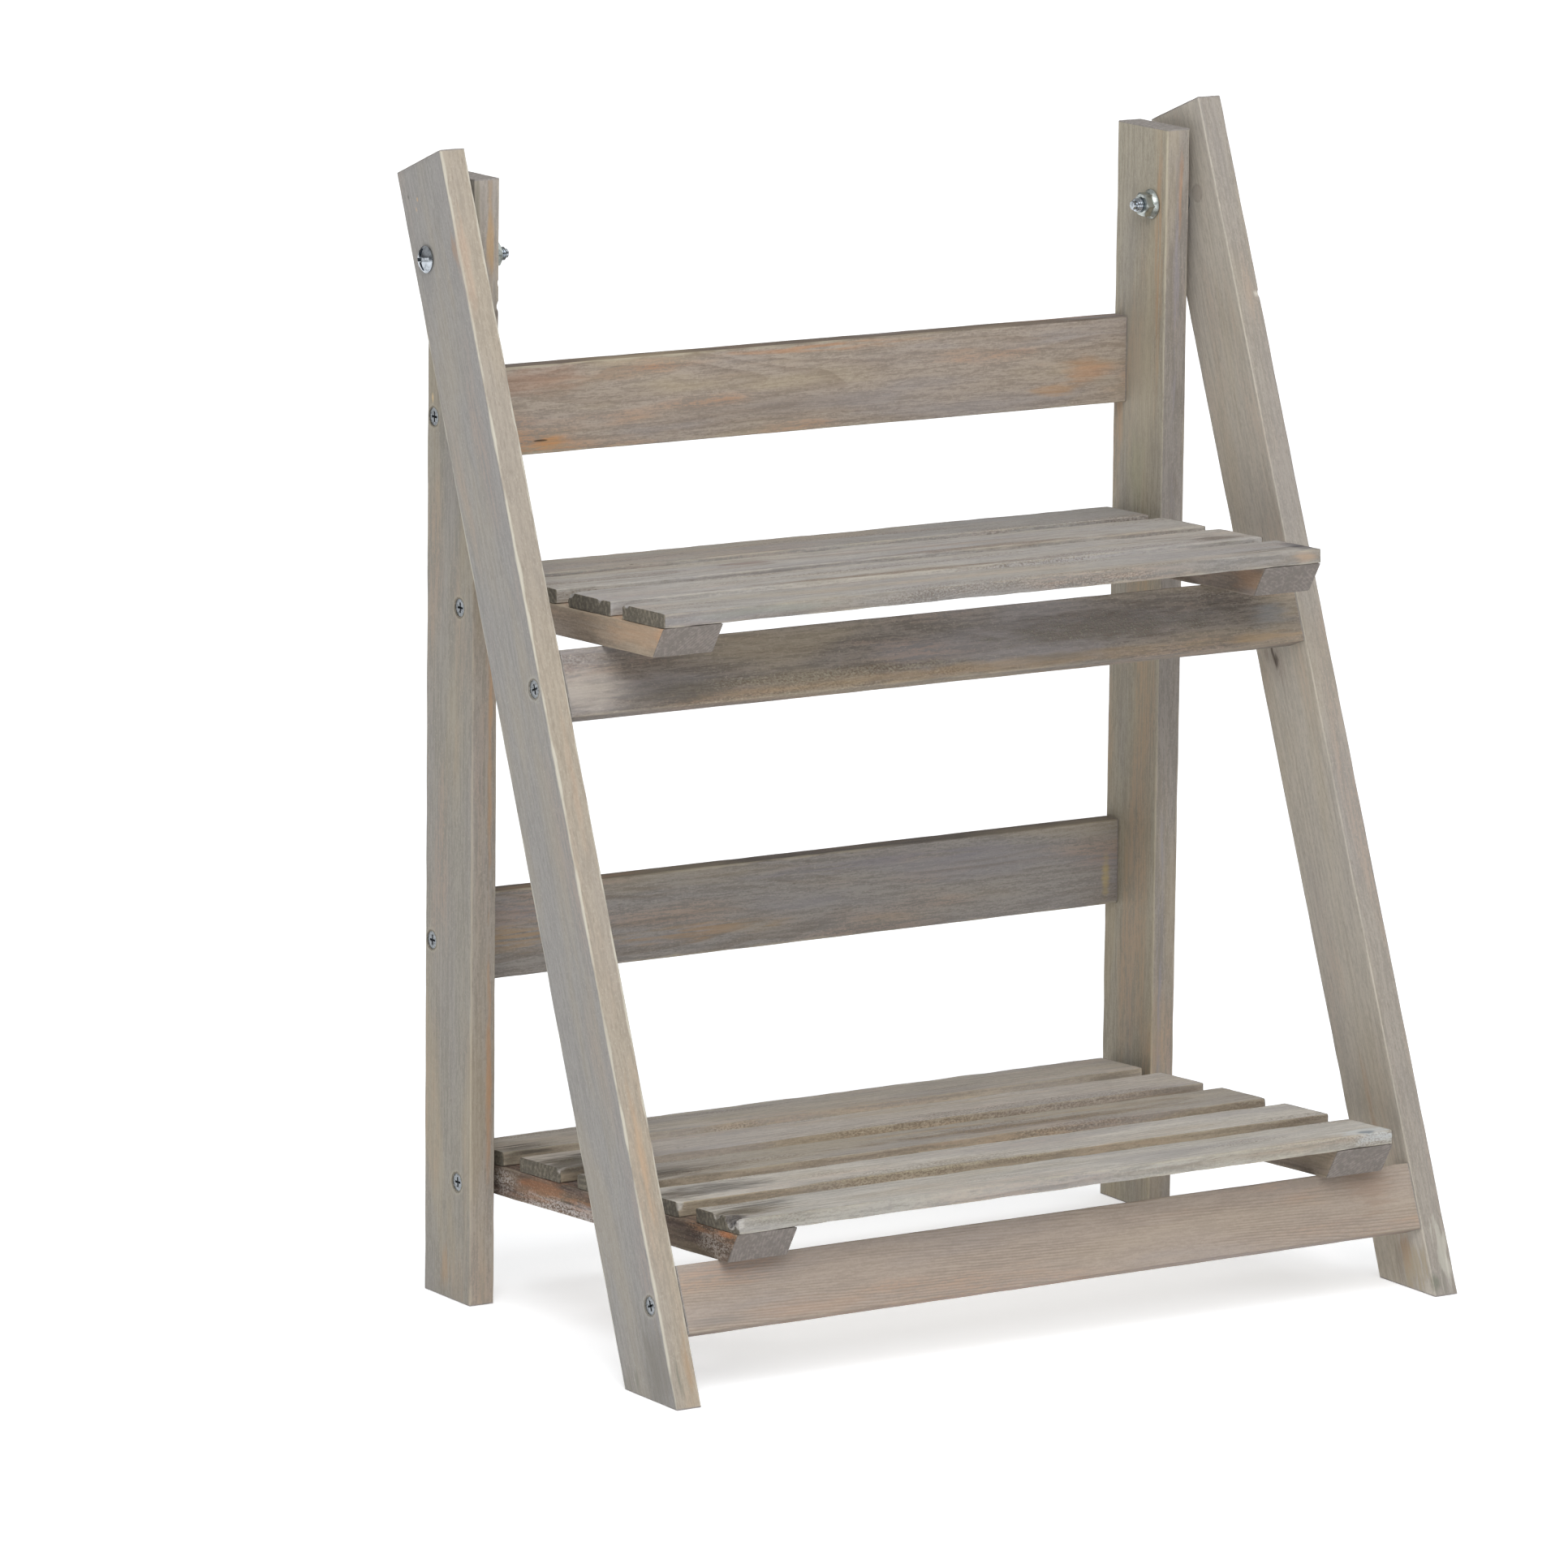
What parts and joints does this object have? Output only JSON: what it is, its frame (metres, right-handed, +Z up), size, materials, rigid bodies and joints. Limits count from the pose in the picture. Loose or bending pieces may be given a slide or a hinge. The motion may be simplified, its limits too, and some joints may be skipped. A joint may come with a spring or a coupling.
{
  "type": "plant ladder stand",
  "caption": "Folding wooden ladder stand with two slatted shelves for plant pots: leaning front legs bolted to upright rear posts.",
  "frame": {"origin": "on the ground, in the middle of the stand's width and depth", "axes": "+Z up, +X to the right seen from the front, the front faces -Y"},
  "size_m": [0.4168, 0.24, 0.515],
  "materials": {
    "post_wood": "grey wash over pine, matt",
    "leg_wood": "grey wash over pine, matt",
    "rail_wood": "grey wash over pine, matt, brown grain",
    "slat_wood": "grey wash over rough pine, matt",
    "bearer_wood": "thin grey wash over pine, matt, warm",
    "zinc_steel": "bright zinc plate"
  },
  "bodies": {
    "rear_frame": {"rear_post_left": "post_wood", "rear_post_right": "post_wood", "back_rail_upper": "rail_wood", "back_rail_lower": "rail_wood", "back_rail_screws": "zinc_steel", "pivot_bolts": "zinc_steel", "flange_nuts": "zinc_steel", "leg_spacers": "zinc_steel"},
    "front_frame": {"front_leg_left": "leg_wood", "front_leg_right": "leg_wood", "front_rail_upper": "rail_wood", "front_rail_lower": "rail_wood", "front_rail_screws": "zinc_steel"},
    "upper_shelf": {"upper_bearer_left": "bearer_wood", "upper_bearer_right": "bearer_wood", "upper_slat_1": "slat_wood", "upper_slat_2": "slat_wood", "upper_slat_3": "slat_wood", "upper_slat_4": "slat_wood", "upper_pivot_screws": "zinc_steel", "upper_slat_brads": "zinc_steel"},
    "lower_shelf": {"lower_bearer_left": "bearer_wood", "lower_bearer_right": "bearer_wood", "lower_slat_1": "slat_wood", "lower_slat_2": "slat_wood", "lower_slat_3": "slat_wood", "lower_slat_4": "slat_wood", "lower_slat_5": "slat_wood", "lower_pivot_screws": "zinc_steel", "lower_slat_brads": "zinc_steel"}
  },
  "joints": [
    {"name": "front_frame_fold", "type": "hinge", "parent": "rear_frame", "child": "front_frame", "pos_m": [0, 0.09205, 0.466], "axis": [1, 0, 0], "range_deg": [0, 21.7]},
    {"name": "upper_shelf_fold", "type": "hinge", "parent": "rear_frame", "child": "upper_shelf", "pos_m": [0, 0.09205, 0.3115], "axis": [-1, 0, 0], "range_deg": [0, 90]},
    {"name": "lower_shelf_fold", "type": "hinge", "parent": "rear_frame", "child": "lower_shelf", "pos_m": [0, 0.09205, 0.0542], "axis": [-1, 0, 0], "range_deg": [0, 88.8]}
  ]
}
